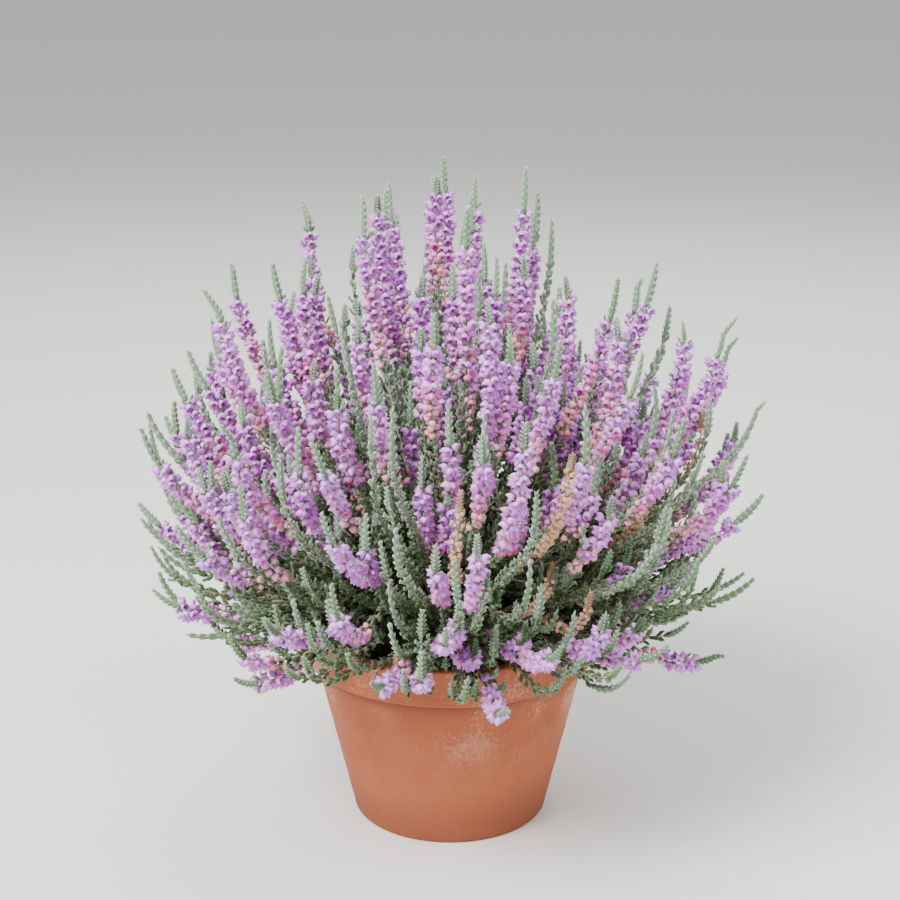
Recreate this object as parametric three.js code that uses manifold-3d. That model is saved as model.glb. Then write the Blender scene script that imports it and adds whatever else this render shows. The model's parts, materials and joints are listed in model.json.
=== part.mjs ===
// A potted heather: a dome of upright leafy shoots with mauve flower spikes, in a plain clay pot.
// Millimetres, +Z up. The origin is the middle of the pot's underside.
import * as THREE from "three";
import { mergeVertices } from "three/addons/utils/BufferGeometryUtils.js";
import Module from "manifold-3d";

const wasm = await Module();
wasm.setup();

// Driving dimensions of the pot and the soil
const POT_HEIGHT = 162;
const RIM_RADIUS = 118;
const RIM_BAND = 31;
const FOOT_RADIUS = 77;
const WALL = 8.5;
const DRAIN_RADIUS = 11;
const POT_SIDES = 24;
const SOIL_LEVEL = 146;
const GAP = 0.35; // clearance between pieces that touch

// Driving dimensions of the plant
const HEART_DEPTH = 25; // all shoots radiate from a point this far under the soil's surface
const SPRAYS = { middle: 4, outer: 7 }; // around one spray in the centre
const SPRAY_POLAR = { centre: 5, middle: 31, outer: 65 }; // degrees from upright
const SHOOTS = 61;
const WIDEST_POLAR = 78; // degrees from upright at the lowest shoots' tips
const SHOOT_REACH = 398; // from the heart to an upright shoot's tip
const REACH_LOST = 172; // by the lowest shoots
const HALF_SPREAD = 238;
const ARCH = 6.5; // degrees that a level shoot arches out before its tip turns up
const RISE_RADIUS = 60; // where stems are clear of the soil and begin to spread
const RISE_POLAR = 56; // the most that a shoot leans there, to pass over the pot's rim
const FREE_RADIUS = 165; // beyond which each shoot keeps to its own way
const MID_RADIUS = 190; // where shoots are shared out among the sprays
const PLAIN_EVERY = 4; // one shoot in four bears leaves only
const FILLERS = 20; // shoots in the widest gaps between the others
const FILLER_CHOICES = 400; // directions that each is chosen from
const FILLER_POLAR = 66; // degrees from upright at the lowest of them
const STEM_RADIUS = 3.1;
const TWIG_RADIUS = 1.25;
const SHOOT_COLUMNS = 4; // leaves and florets stand in crossed pairs
const HOLE_DEPTH = 28;
const LEAF_PITCH = 16.5; // along a shoot, between tiers of short leafy side shoots
const LEAF_REACH = 11;
const FILLER_FOOT = 195; // where a filling shoot's leaves begin
const CORE_FOOT = 94; // from the heart to where the leaves begin
const CORE_PITCH = 21;
const CORE_STUDS = 1.6; // how far its short shoots stand out, as a multiple of its radius
const FLORET_PITCH = 9; // along a spike, between tiers of florets
const FLORET_REACH = 9;
const SPIKE_CORE = 2.9;
const SPIKE_SHARE = 0.25; // of an upright shoot's reach that is in flower

const RIGHT = Math.PI / 180;
const HEART = new THREE.Vector3(0, 0, SOIL_LEVEL - HEART_DEPTH);

// A repeatable draw from 0 to 1 for item i and purpose k
function draw(i, k) {
  const x = Math.sin(i * 127.1 + k * 311.7) * 43758.5453;
  return x - Math.floor(x);
}

function smooth(x) {
  const t = Math.min(1, Math.max(0, x));
  return t * t * (3 - 2 * t);
}

// How far a shoot reaches from the heart: less, the further it leans
function reachAt(polar) {
  return SHOOT_REACH - REACH_LOST * Math.pow(polar / WIDEST_POLAR, 1.5);
}

// The angle from upright at radius r, of a shoot whose tip leans by polar. Low shoots rise over the
// rim first, then arch out, and each tip turns up towards the light.
function leanAt(polar, r) {
  const u = Math.min(1, Math.max(0, (r - RISE_RADIUS) / (reachAt(polar) - RISE_RADIUS)));
  const start = RISE_POLAR * Math.sin((Math.PI / 2) * (polar / WIDEST_POLAR));
  const bow = 6.75 * u * u * (1 - u); // rises slowly to 1 and falls to 0 at the tip
  return start + (polar - start) * u + ARCH * Math.sin(polar * RIGHT) * bow;
}

function direction(polar, azimuth) {
  const p = polar * RIGHT;
  const a = azimuth * RIGHT;
  return new THREE.Vector3(Math.sin(p) * Math.cos(a), Math.sin(p) * Math.sin(a), Math.cos(p));
}

// The unit direction from the heart to a spray's or a shoot's own path at radius r
function wayAt({ polar, azimuth }, r) {
  return direction(leanAt(polar, r), azimuth);
}

// The sprays: each is one woody stem out of the soil, with the shoots that it bears
const sprays = [{ polar: SPRAY_POLAR.centre, azimuth: 200 }];
for (let k = 0; k < SPRAYS.middle; k++)
  sprays.push({ polar: SPRAY_POLAR.middle, azimuth: 20 + (360 * k) / SPRAYS.middle });
for (let k = 0; k < SPRAYS.outer; k++)
  sprays.push({ polar: SPRAY_POLAR.outer, azimuth: 7 + (360 * k) / SPRAYS.outer });
sprays.forEach((s) => (s.shoots = []));

// Directions spread evenly over the dome, down to its widest angle, by the golden angle
const GOLDEN = 137.50776;
function spread(i, count, widest) {
  const height = 1 - ((i + 0.5) / count) * (1 - Math.cos(widest * RIGHT));
  return { polar: Math.acos(height) / RIGHT, azimuth: GOLDEN * i };
}

// Gives shoot i its reach, zones and draws, and joins it to the nearest spray
const shoots = [];
function addShoot(i, shoot, blooms) {
  const furthest = HALF_SPREAD / Math.sin(leanAt(shoot.polar, SHOOT_REACH) * RIGHT);
  shoot.reach = Math.min(furthest, reachAt(shoot.polar) * (1 + 0.13 * (draw(i, 3) - 0.5)));
  shoot.fork = 72 + 22 * draw(i, 4);
  shoot.turn = 90 * draw(i, 5);
  shoot.blooms = blooms;
  shoot.tip = 20 + 14 * draw(i, 6);
  const share = SPIKE_SHARE - 0.05 * (shoot.polar / WIDEST_POLAR) + 0.06 * (draw(i, 7) - 0.5);
  shoot.spike = share * shoot.reach;
  const way = wayAt(shoot, MID_RADIUS);
  const nearness = (s) => wayAt(s, MID_RADIUS).dot(way);
  shoot.spray = sprays.reduce((a, b) => (nearness(b) > nearness(a) ? b : a));
  shoot.spray.shoots.push(shoot);
  shoots.push(shoot);
}

for (let i = 0; i < SHOOTS; i++) {
  const shoot = spread(i, SHOOTS, WIDEST_POLAR);
  shoot.polar += 5 * (draw(i, 1) - 0.5);
  shoot.polar = Math.min(WIDEST_POLAR, Math.max(2, shoot.polar));
  shoot.azimuth += 6 * (draw(i, 2) - 0.5);
  addShoot(i, shoot, i % PLAIN_EVERY !== PLAIN_EVERY - 1);
}

// More shoots, with no spike of their own, fill the dome's widest gaps: each takes the direction,
// of many, that is furthest from every shoot so far
for (let n = 0; n < FILLERS; n++) {
  const ways = shoots.map((s) => direction(s.polar, s.azimuth));
  let widest = null;
  for (let j = 0; j < FILLER_CHOICES; j++) {
    const choice = spread(j, FILLER_CHOICES, FILLER_POLAR);
    const way = direction(choice.polar, choice.azimuth);
    choice.nearest = Math.max(...ways.map((other) => other.dot(way)));
    if (!widest || choice.nearest < widest.nearest) widest = choice;
  }
  addShoot(SHOOTS + n, { polar: widest.polar, azimuth: widest.azimuth, filler: true }, false);
}

// The point at radius r from the heart on a spray's own stem
function stemPoint(spray, r) {
  return wayAt(spray, r).multiplyScalar(r).add(HEART);
}

// The point at radius r on a shoot: on its spray's stem up to the fork, and then out to its own way
function shootPoint(shoot, r) {
  const w = smooth((r - shoot.fork) / (FREE_RADIUS - shoot.fork));
  return wayAt(shoot.spray, r).lerp(wayAt(shoot, r), w).normalize().multiplyScalar(r).add(HEART);
}

// The pose of a cross-section at radius r on a path. `side` is the way that its first column faces.
function poseOn(path, r, side) {
  const along = path(r + 1).sub(path(r - 1)).normalize();
  const across = side.clone().addScaledVector(along, -side.dot(along)).normalize();
  return { p: path(r), along, across, up: along.clone().cross(across) };
}

// The level direction across a shoot or a spray that leans towards this azimuth
function sideOf(azimuth) {
  return new THREE.Vector3(-Math.sin(azimuth * RIGHT), Math.cos(azimuth * RIGHT), 0);
}

// The vertices of one ring. Every second one stands out to `high` and leans by `lean` along the path.
function ringVertices({ pose, low, high, lean }, index, columns, turn) {
  const vertices = [];
  for (let j = 0; j < columns; j++) {
    const a = ((j / columns) * 360 + turn) * RIGHT;
    const out = pose.across.clone().multiplyScalar(Math.cos(a));
    out.addScaledVector(pose.up, Math.sin(a));
    const raised = (index + j) % 2 === 0 && high > low;
    const v = pose.p.clone().addScaledVector(out, raised ? high : low);
    vertices.push(raised ? v.addScaledVector(pose.along, lean) : v);
  }
  return vertices;
}

// Triangles between two rings. Each quad is split between its two low corners, so that every raised
// vertex is the tip of a four-sided leaf or floret.
function stitch(faces, a, b, index, columns) {
  for (let j = 0; j < columns; j++) {
    const k = (j + 1) % columns;
    if ((index + j) % 2 === 0) {
      faces.push([a + j, a + k, b + j], [a + k, b + k, b + j]);
    } else {
      faces.push([a + j, a + k, b + k], [a + j, b + k, b + j]);
    }
  }
}

function geometryOf(vertices, faces) {
  const g = new THREE.BufferGeometry();
  const xyz = vertices.flatMap((v) => [v.x, v.y, v.z]);
  g.setAttribute("position", new THREE.Float32BufferAttribute(xyz, 3));
  g.setIndex(faces.flat());
  return g;
}

// A closed shoot of rings, each {pose, low, high, lean}, that ends in a point at `apex`
function studdedShoot(rings, apex, columns, turn) {
  const vertices = rings.flatMap((ring, i) => ringVertices(ring, i, columns, turn));
  const faces = [];
  for (let i = 0; i + 1 < rings.length; i++)
    stitch(faces, i * columns, (i + 1) * columns, i, columns);
  const foot = vertices.push(rings[0].pose.p.clone()) - 1;
  const top = vertices.push(apex) - 1;
  const last = (rings.length - 1) * columns;
  for (let j = 0; j < columns; j++) {
    const k = (j + 1) % columns;
    faces.push([j, foot, k], [last + j, last + k, top]);
  }
  return geometryOf(vertices, faces);
}

// A closed sleeve: studded rings outside and plain rings inside, of the same number of columns
function studdedSleeve(outer, inner, columns, turn) {
  const vertices = [...outer, ...inner].flatMap((ring, i) => ringVertices(ring, i, columns, turn));
  const faces = [];
  for (let i = 0; i + 1 < outer.length; i++)
    stitch(faces, i * columns, (i + 1) * columns, i, columns);
  const start = outer.length * columns;
  for (let i = 0; i + 1 < inner.length; i++)
    for (let j = 0; j < columns; j++) {
      const a = start + i * columns;
      const k = (j + 1) % columns;
      faces.push([a + j, a + columns + j, a + k], [a + k, a + columns + j, a + columns + k]);
    }
  const outEnd = start - columns;
  const inEnd = start + (inner.length - 1) * columns;
  for (let j = 0; j < columns; j++) {
    const k = (j + 1) % columns;
    faces.push([j, start + j, k], [k, start + j, start + k]);
    faces.push([outEnd + j, outEnd + k, inEnd + j], [outEnd + k, inEnd + k, inEnd + j]);
  }
  return geometryOf(vertices, faces);
}

// A closed geometry as a solid, for the cuts and joins
function solidOf(geometry) {
  const bare = geometry.clone();
  bare.deleteAttribute("normal");
  bare.deleteAttribute("uv");
  const merged = mergeVertices(bare, 1e-4);
  const triVerts = new Uint32Array(merged.index.array);
  const vertProperties = merged.attributes.position.array;
  return new wasm.Manifold(new wasm.Mesh({ numProp: 3, vertProperties, triVerts }));
}

// The solids as one body, without the scraps and sealed hollows that joining leaves
function joined(solids) {
  const bodies = solids.reduce((a, b) => a.add(b)).decompose();
  return bodies.reduce((a, b) => (b.volume() > a.volume() ? b : a));
}

function geometryFrom(solid) {
  const mesh = solid.getMesh();
  const g = new THREE.BufferGeometry();
  g.setAttribute("position", new THREE.Float32BufferAttribute(mesh.vertProperties, 3));
  g.setIndex(new THREE.BufferAttribute(mesh.triVerts, 1));
  return g;
}

const clayFinish = new THREE.MeshStandardMaterial({ color: 0xb5683f, roughness: 0.9, metalness: 0 });
const soilFinish = new THREE.MeshStandardMaterial({ color: 0x3a2a1e, roughness: 1, metalness: 0 });
const leafFinish = new THREE.MeshStandardMaterial({ color: 0x8fa08a, roughness: 0.85, metalness: 0 });
const bloomFinish = new THREE.MeshStandardMaterial({ color: 0xc98bd0, roughness: 0.6, metalness: 0 });

const heather = new THREE.Group();
function add(name, geometry, material) {
  const mesh = new THREE.Mesh(geometry, material);
  mesh.name = name;
  heather.add(mesh);
}

function lathe(profile, sides) {
  const points = profile.map(([x, y]) => new THREE.Vector2(x, y));
  return new THREE.LatheGeometry(points, sides).rotateX(Math.PI / 2);
}

// The pot: a tapered body, a thicker rim band and a floor with a drain hole
const LIP = RIM_RADIUS - WALL;
const bandFoot = POT_HEIGHT - RIM_BAND;
const innerFloor = FOOT_RADIUS - WALL;
function innerWallAt(z) {
  return innerFloor + ((z - WALL) / (POT_HEIGHT - WALL)) * (LIP - 1.5 - innerFloor);
}
const potProfile = [
  [DRAIN_RADIUS, 0],
  [FOOT_RADIUS - 1.5, 0],
  [FOOT_RADIUS, 2],
  [RIM_RADIUS - 11, bandFoot],
  [RIM_RADIUS - 2, bandFoot + 2],
  [RIM_RADIUS, POT_HEIGHT - 2.5],
  [RIM_RADIUS - 2.5, POT_HEIGHT],
  [LIP, POT_HEIGHT],
  [innerWallAt(POT_HEIGHT - 3), POT_HEIGHT - 3],
  [innerFloor, WALL],
  [DRAIN_RADIUS, WALL],
  [DRAIN_RADIUS, 0],
];
add("pot", lathe(potProfile, POT_SIDES), clayFinish);

// The soil fills the pot up to a low mound, with one plain hole for each stem
const soilFoot = WALL + GAP;
const clear = GAP / Math.cos(Math.PI / POT_SIDES) + 0.1; // across the wall's slant
const soilProfile = [
  [0, soilFoot],
  [innerWallAt(soilFoot) - clear, soilFoot],
  [innerWallAt(SOIL_LEVEL - 4) - clear, SOIL_LEVEL - 4],
  [74, SOIL_LEVEL - 1],
  [0, SOIL_LEVEL],
];
const soilShape = lathe(soilProfile, POT_SIDES);

// Where a spray's stem stands in the soil
function stemFoot(spray) {
  const lean = leanAt(spray.polar, 60) * RIGHT;
  const off = HEART_DEPTH * Math.tan(lean);
  const a = spray.azimuth * RIGHT;
  return new THREE.Vector3(off * Math.cos(a), off * Math.sin(a), SOIL_LEVEL);
}

let soil = solidOf(soilShape);
const HOLE_SIDES = 8;
const holeRadius = (STEM_RADIUS + GAP) / Math.cos(Math.PI / HOLE_SIDES);
for (const spray of sprays) {
  const hole = new THREE.CylinderGeometry(holeRadius, holeRadius, HOLE_DEPTH + 10, HOLE_SIDES);
  const foot = stemFoot(spray);
  hole.rotateX(Math.PI / 2).translate(foot.x, foot.y, SOIL_LEVEL + 5 - HOLE_DEPTH / 2);
  soil = soil.subtract(solidOf(hole));
}
add("soil", geometryFrom(soil), soilFinish);

// One spray's woody stem: upright in its hole, and then leaning out to where the shoots fork
function woodyStem(spray) {
  const side = sideOf(spray.azimuth);
  const upright = (z) => stemFoot(spray).setZ(SOIL_LEVEL + z);
  const leaning = (r) => stemPoint(spray, r);
  const rings = [
    { pose: poseOn(upright, GAP - HOLE_DEPTH, side), low: STEM_RADIUS },
    { pose: poseOn(upright, 3, side), low: STEM_RADIUS },
    { pose: poseOn(leaning, 76, side), low: 2.7 },
    { pose: poseOn(leaning, 112, side), low: 2.2 },
  ];
  return studdedShoot(rings, leaning(118), 6, 0);
}

// The leafy heart of a spray: a small core, studded with short shoots, that the long shoots stand
// out of. It ends where the spray's lowest florets begin, and the outer ones are slim enough to
// clear the pot's rim.
function leafyCore(spray) {
  const path = (r) => stemPoint(spray, r);
  const end = Math.min(...spray.shoots.map((shoot) => zonesOf(shoot).leafTop));
  const width = 0.15 - 0.0007 * spray.polar;
  const tiers = Math.round((end - CORE_FOOT) / CORE_PITCH);
  const rings = [];
  for (let n = 0; n < tiers; n++) {
    const r = CORE_FOOT + ((end - CORE_FOOT) * n) / tiers;
    const low = 3 + width * r * Math.sin(Math.PI * Math.pow(n / tiers, 1.15));
    const high = n === 0 ? 0 : CORE_STUDS * low;
    rings.push({ pose: poseOn(path, r, sideOf(spray.azimuth)), low, high, lean: 6 });
  }
  return studdedShoot(rings, path(end), 10, 10);
}

// The radii at which a shoot's leaves begin and end, and at which its tip starts
function zonesOf(shoot) {
  const tipFoot = shoot.reach - shoot.tip;
  const leafTop = shoot.blooms ? tipFoot - shoot.spike : tipFoot;
  const leafFoot = shoot.filler ? FILLER_FOOT : Math.min(140, leafTop - 2 * LEAF_PITCH);
  return { leafFoot, leafTop, tipFoot };
}

// The radii at which a shoot's florets begin and end
function spikeEnds(shoot) {
  const { leafTop, tipFoot } = zonesOf(shoot);
  return [leafTop + 1.5, tipFoot - 0.5];
}

function ringOn(shoot, r, low, high = 0, lean = 0) {
  const pose = poseOn((x) => shootPoint(shoot, x), r, sideOf(shoot.azimuth));
  return { pose, low, high, lean };
}

// The bare twig inside a flower spike, and the hole in the florets round it, as three rings
function twigRings(shoot, radius) {
  const [from, to] = spikeEnds(shoot);
  return [0, 0.5, 1].map((share) => ringOn(shoot, from + (to - from) * share, radius));
}

// The silvery tip: tight tiers, as {share of its length, low radius, high radius}
const TIP_TIERS = [
  [0.15, 1.7, 3.6],
  [0.6, 1.4, 3],
];

// A long shoot: bare twig, tiers of short side shoots in crossed pairs, bare twig again under the
// florets, and the tip
function leafyShoot(shoot) {
  const { leafFoot, leafTop, tipFoot } = zonesOf(shoot);
  const rings = [ringOn(shoot, shoot.fork, TWIG_RADIUS), ringOn(shoot, shoot.fork + 24, TWIG_RADIUS)];
  const tiers = Math.round((leafTop - leafFoot) / LEAF_PITCH);
  for (let n = 0; n < tiers; n++) {
    const share = n / tiers;
    const r = leafFoot + (leafTop - leafFoot) * share;
    rings.push(ringOn(shoot, r, 1.5, LEAF_REACH * (1 - 0.3 * share), 5.5));
  }
  if (shoot.blooms) rings.push(...twigRings(shoot, TWIG_RADIUS));
  for (const [share, low, high] of TIP_TIERS)
    rings.push(ringOn(shoot, tipFoot + share * shoot.tip, low, high, 3));
  return studdedShoot(rings, shootPoint(shoot, shoot.reach), SHOOT_COLUMNS, shoot.turn);
}

// A flower spike: a sleeve of nodding florets round the bare twig
function flowerSpike(shoot) {
  const [from, to] = spikeEnds(shoot);
  const tiers = Math.round((to - from) / FLORET_PITCH);
  const outer = [];
  for (let n = 0; n <= tiers; n++) {
    const share = n / tiers;
    const high = n === 0 || n === tiers ? 0 : FLORET_REACH * (1 - 0.22 * share);
    outer.push(ringOn(shoot, from + (to - from) * share, SPIKE_CORE, high, -1.5));
  }
  return studdedSleeve(outer, twigRings(shoot, TWIG_RADIUS + 0.5), SHOOT_COLUMNS, shoot.turn);
}

const label = (n) => String(n + 1).padStart(2, "0");
sprays.forEach((spray, k) => {
  const pieces = [woodyStem(spray), leafyCore(spray), ...spray.shoots.map(leafyShoot)];
  add("leafy_spray_" + label(k), geometryFrom(joined(pieces.map(solidOf))), leafFinish);
});

shoots
  .filter((s) => s.blooms)
  .forEach((shoot, n) => add("flower_spike_" + label(n), flowerSpike(shoot), bloomFinish));

export default heather;
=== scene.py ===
# %% [markdown]
# # A heather in a clay pot
#
# A heather is a low evergreen bush. Hundreds of thin woody shoots rise from its heart and spread
# into a dome. Each is clothed in short silver-green side shoots, many then carry a spike of small
# mauve bells, and all end in a silvery spear of new leaves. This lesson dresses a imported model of
# such a plant: the model fixes where the main shoots go, and the cells below give them, and many
# more between them, their leaves and florets.

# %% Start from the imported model
import json
import math

import bpy
import numpy as np
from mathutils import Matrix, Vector

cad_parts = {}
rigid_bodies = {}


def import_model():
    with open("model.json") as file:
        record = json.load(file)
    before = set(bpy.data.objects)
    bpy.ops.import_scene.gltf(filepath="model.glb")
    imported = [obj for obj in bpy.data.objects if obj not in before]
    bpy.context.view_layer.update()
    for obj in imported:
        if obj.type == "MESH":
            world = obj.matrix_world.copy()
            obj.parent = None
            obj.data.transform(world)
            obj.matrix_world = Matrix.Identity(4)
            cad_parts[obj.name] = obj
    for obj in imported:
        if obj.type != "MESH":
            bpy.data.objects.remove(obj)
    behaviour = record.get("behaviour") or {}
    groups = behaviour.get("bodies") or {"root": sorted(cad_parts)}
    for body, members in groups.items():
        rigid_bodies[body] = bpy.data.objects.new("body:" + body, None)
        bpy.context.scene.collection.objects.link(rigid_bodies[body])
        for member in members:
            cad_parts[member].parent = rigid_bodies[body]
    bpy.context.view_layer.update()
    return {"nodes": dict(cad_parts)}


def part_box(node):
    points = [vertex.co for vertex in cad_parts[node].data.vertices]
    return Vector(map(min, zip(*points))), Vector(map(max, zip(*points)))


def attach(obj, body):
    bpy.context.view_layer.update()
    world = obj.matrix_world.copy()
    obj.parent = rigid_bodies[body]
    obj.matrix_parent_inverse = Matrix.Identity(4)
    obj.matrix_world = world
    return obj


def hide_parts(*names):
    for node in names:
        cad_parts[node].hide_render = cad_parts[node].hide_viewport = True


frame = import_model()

print("nodes in the frame:", len(frame["nodes"]))

# %% [markdown]
# ## Sizes
#
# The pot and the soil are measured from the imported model, so they can't drift away from it. The plan
# of the plant is a rule with a few driving sizes, and the same rule made the model's solids. All
# sizes are in millimetres and angles in degrees until a mesh is made. A polar angle is a lean from
# upright.

# %% Driving sizes
MM = 0.001
POT_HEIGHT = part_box("pot")[1].z / MM
RIM_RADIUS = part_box("pot")[1].x / MM
SOIL_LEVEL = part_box("soil")[1].z / MM
SOIL_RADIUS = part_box("soil")[1].x / MM
BAND = 31.0  # the thicker band at the rim, from its foot to the top

HEART_DEPTH = 25.0  # of the point that all shoots are reckoned from, under the soil
HEART = np.array([0.0, 0.0, SOIL_LEVEL - HEART_DEPTH])
SHOOTS = 61  # main shoots at golden angles
FILLERS = 20  # main shoots in the gaps between them
MAINS = SHOOTS + FILLERS
WIDEST_POLAR = 78.0  # lean of the lowest shoots
SHOOT_REACH = 398.0  # of an upright shoot, from the heart
REACH_LOST = 172.0  # how much less the lowest reach
HALF_SPREAD = 238.0
ARCH = 6.5  # the most a main shoot bows outwards
RISE_RADIUS = 60.0  # where a shoot starts to follow its own lean
RISE_POLAR = 56.0  # lean of the lowest shoots up to there
FREE_RADIUS = 165.0  # where a main shoot has left its spray
MID_RADIUS = 190.0  # where shoots are sorted into sprays
LOW_POLAR, LOW_SPAN = 46.0, 24.0  # where the dome's lower part begins, and how gradually
GOLDEN = 137.50776  # the golden angle
print(f"pot {2 * RIM_RADIUS:.0f} x {POT_HEIGHT:.0f} mm, soil at {SOIL_LEVEL:.0f} mm")

# %% [markdown]
# ## Chance that repeats
#
# A plant needs irregular numbers, but the scene has to come out the same each time. A hash does
# both: the fraction part of a large sine looks random, and always gives the same value for the same
# item and purpose. Numpy's own generators would do as well, but this one is easy to write in another
# language too, so the model and the scene share it.


# %% A repeatable draw
def draw(item, purpose):
    """From 0 to 1: the fraction part of 43758.5453 times the sine of a mix of item and purpose."""
    x = np.sin(np.asarray(item) * 127.1 + purpose * 311.7) * 43758.5453
    return x - np.floor(x)


def around(item, purpose, spread):
    """A draw from minus half the spread to plus half of it."""
    return spread * (draw(item, purpose) - 0.5)


def smooth(x):
    """Smoothstep: 3 t squared minus 2 t cubed, with t held between 0 and 1."""
    t = np.clip(x, 0.0, 1.0)
    return t * t * (3.0 - 2.0 * t)


def lowness(polar):
    """0 for shoots of the dome's upper part, 1 for the ones that lean out low, smooth between."""
    return smooth((polar - LOW_POLAR) / LOW_SPAN)


print("first draws:", np.round(draw(np.arange(4), 1), 3))

# %% [markdown]
# ## Where a shoot runs
#
# Every shoot is described from the heart of the plant, a point under the soil, by how far it leans
# from upright at each distance. Low shoots first rise over the pot's rim and then arch out, and all
# tips turn up a little, as shoots do that reach for light. Curves drawn by hand would do for one
# shoot. For hundreds, one formula in polar coordinates is shorter, and seldom lets two cross.


# %% The lean and the way of a shoot
def reach_at(polar):
    """How far a shoot reaches: the upright one's reach, less by the power 1.5 of its lean."""
    return SHOOT_REACH - REACH_LOST * (polar / WIDEST_POLAR) ** 1.5


def lean_at(polar, r, full=None, arch=1.0):
    """The angle from upright at radius r: evenly from a steep start to the tip's own angle, plus a
    bow of 6.75 u squared times (1 - u), where u is the share of the full reach. Its most is 1."""
    full = reach_at(polar) if full is None else full
    u = np.clip((r - RISE_RADIUS) / (full - RISE_RADIUS), 0.0, 1.0)
    start = RISE_POLAR * np.sin(math.pi / 2 * np.minimum(polar / WIDEST_POLAR, 1.0))
    bow = 6.75 * u * u * (1.0 - u)
    return start + (polar - start) * u + arch * ARCH * np.sin(np.radians(polar)) * bow


def direction(polar, azimuth):
    """The unit vector at an angle from upright and an angle round the axis, in degrees."""
    p, a = np.radians(polar), np.radians(azimuth)
    return np.stack([np.sin(p) * np.cos(a), np.sin(p) * np.sin(a), np.cos(p)], -1)


def way_at(polar, azimuth, r, full=None, arch=1.0):
    """The unit vector from the heart to a path at radius r."""
    return direction(lean_at(polar, r, full, arch), azimuth + 0.0 * r)


def unit(v):
    """The vectors at length one."""
    return v / np.linalg.norm(v, axis=-1, keepdims=True)


def square_to(way, v):
    """The unit vector square to a way that is nearest to v: v less its share along the way."""
    return unit(v - np.sum(v * way, -1, keepdims=True) * way)


def outward(across, up, angle):
    """Unit vectors out of a shoot at an angle round it: across times cosine plus up times sine."""
    return across * np.cos(angle)[..., None] + up * np.sin(angle)[..., None]


SPRAY_POLAR = np.repeat([5.0, 31.0, 65.0], [1, 4, 7])
SPRAY_AZIMUTH = np.concatenate([[200.0], 20 + 90.0 * np.arange(4), 7 + 360 / 7 * np.arange(7)])
SPRAYS = len(SPRAY_POLAR)
print("sprays:", SPRAYS, "reach upright and lowest:", reach_at(0.0), reach_at(WIDEST_POLAR))

# %% [markdown]
# ## The long shoots
#
# The model holds 61 main shoots, spread over the dome by the golden angle, which never lines up two
# neighbours, and 20 more in the widest gaps that they leave. A grown heather has some hundreds, so
# more are laid out here by the same rule, and each parts from its nearest main shoot at a third to a
# half of its own reach. A table with one row a shoot lets numpy work on all of them at once.
#
# Shoots of the crown mostly flower, and the lower they lean the fewer do. A shoot without flowers
# puts its strength into a longer tip. A few withered ones keep their dead flowers.


# %% Directions spread over the dome
def spread_out(many, widest, wobble, first_item):
    """Polar angles and azimuths at equal areas of the dome down to its widest angle: the cosine
    falls evenly and the azimuth grows by the golden angle, both with a small draw."""
    n = np.arange(many)
    height = 1 - (n + 0.5) / many * (1 - math.cos(math.radians(widest)))
    polar = np.degrees(np.arccos(height)) + around(first_item + n, 1, wobble)
    azimuth = GOLDEN * n + around(first_item + n, 2, 1.2 * wobble)
    return np.clip(polar, min(2.0, wobble), widest), azimuth


def furthest(polar, full):
    """How far a shoot may reach within the plant's half spread, by the sine of its lean."""
    return HALF_SPREAD / np.sin(np.radians(np.maximum(lean_at(polar, SHOOT_REACH, full), 1.0)))


GAP_CHOICES, GAP_POLAR = 400, 66.0


def fill_gaps(polar, azimuth, more):
    """The directions with more in their widest gaps: each new one is that of many evenly spread
    choices whose nearest neighbour is furthest from it."""
    choices = spread_out(GAP_CHOICES, GAP_POLAR, 0.0, 0)
    for _ in range(more):
        alike = (direction(*choices) @ direction(polar, azimuth).T).max(axis=1)
        best = alike.argmin()
        polar = np.append(polar, choices[0][best])
        azimuth = np.append(azimuth, choices[1][best])
    return polar, azimuth


# %% Main shoots, as in the model
NEVER = 1e6  # a radius that no shoot reaches, as main ones part from no other
i = np.arange(MAINS)
polar, azimuth = fill_gaps(*spread_out(SHOOTS, WIDEST_POLAR, 5.0, 0), FILLERS)
with_spikes = (i % 4 != 3) & (i < SHOOTS)  # the ones whose flowers are solids in the model
reach = np.minimum(furthest(polar, None), reach_at(polar) * (1 + around(i, 3, 0.13)))
spray_ways = way_at(SPRAY_POLAR, SPRAY_AZIMUTH, MID_RADIUS)
main = {
    "polar": polar,
    "azimuth": azimuth,
    "reach": reach,
    "full": reach_at(polar),
    "arch": np.ones(MAINS),
    "fork": 72 + 22 * draw(i, 4),
    "turn": 90 * draw(i, 5),
    "tip": 20 + 14 * draw(i, 6),
    "blooms": with_spikes | ((i >= SHOOTS) & (polar < LOW_POLAR)),
    "spike": (0.25 - 0.05 * polar / WIDEST_POLAR + around(i, 7, 0.06)) * reach,
    "spray": np.argmax(way_at(polar, azimuth, MID_RADIUS) @ spray_ways.T, axis=1),
    "parent": i,
    "part": np.full(MAINS, NEVER),
}
print("main shoots:", MAINS, "in flower:", int(main["blooms"].sum()))


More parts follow.
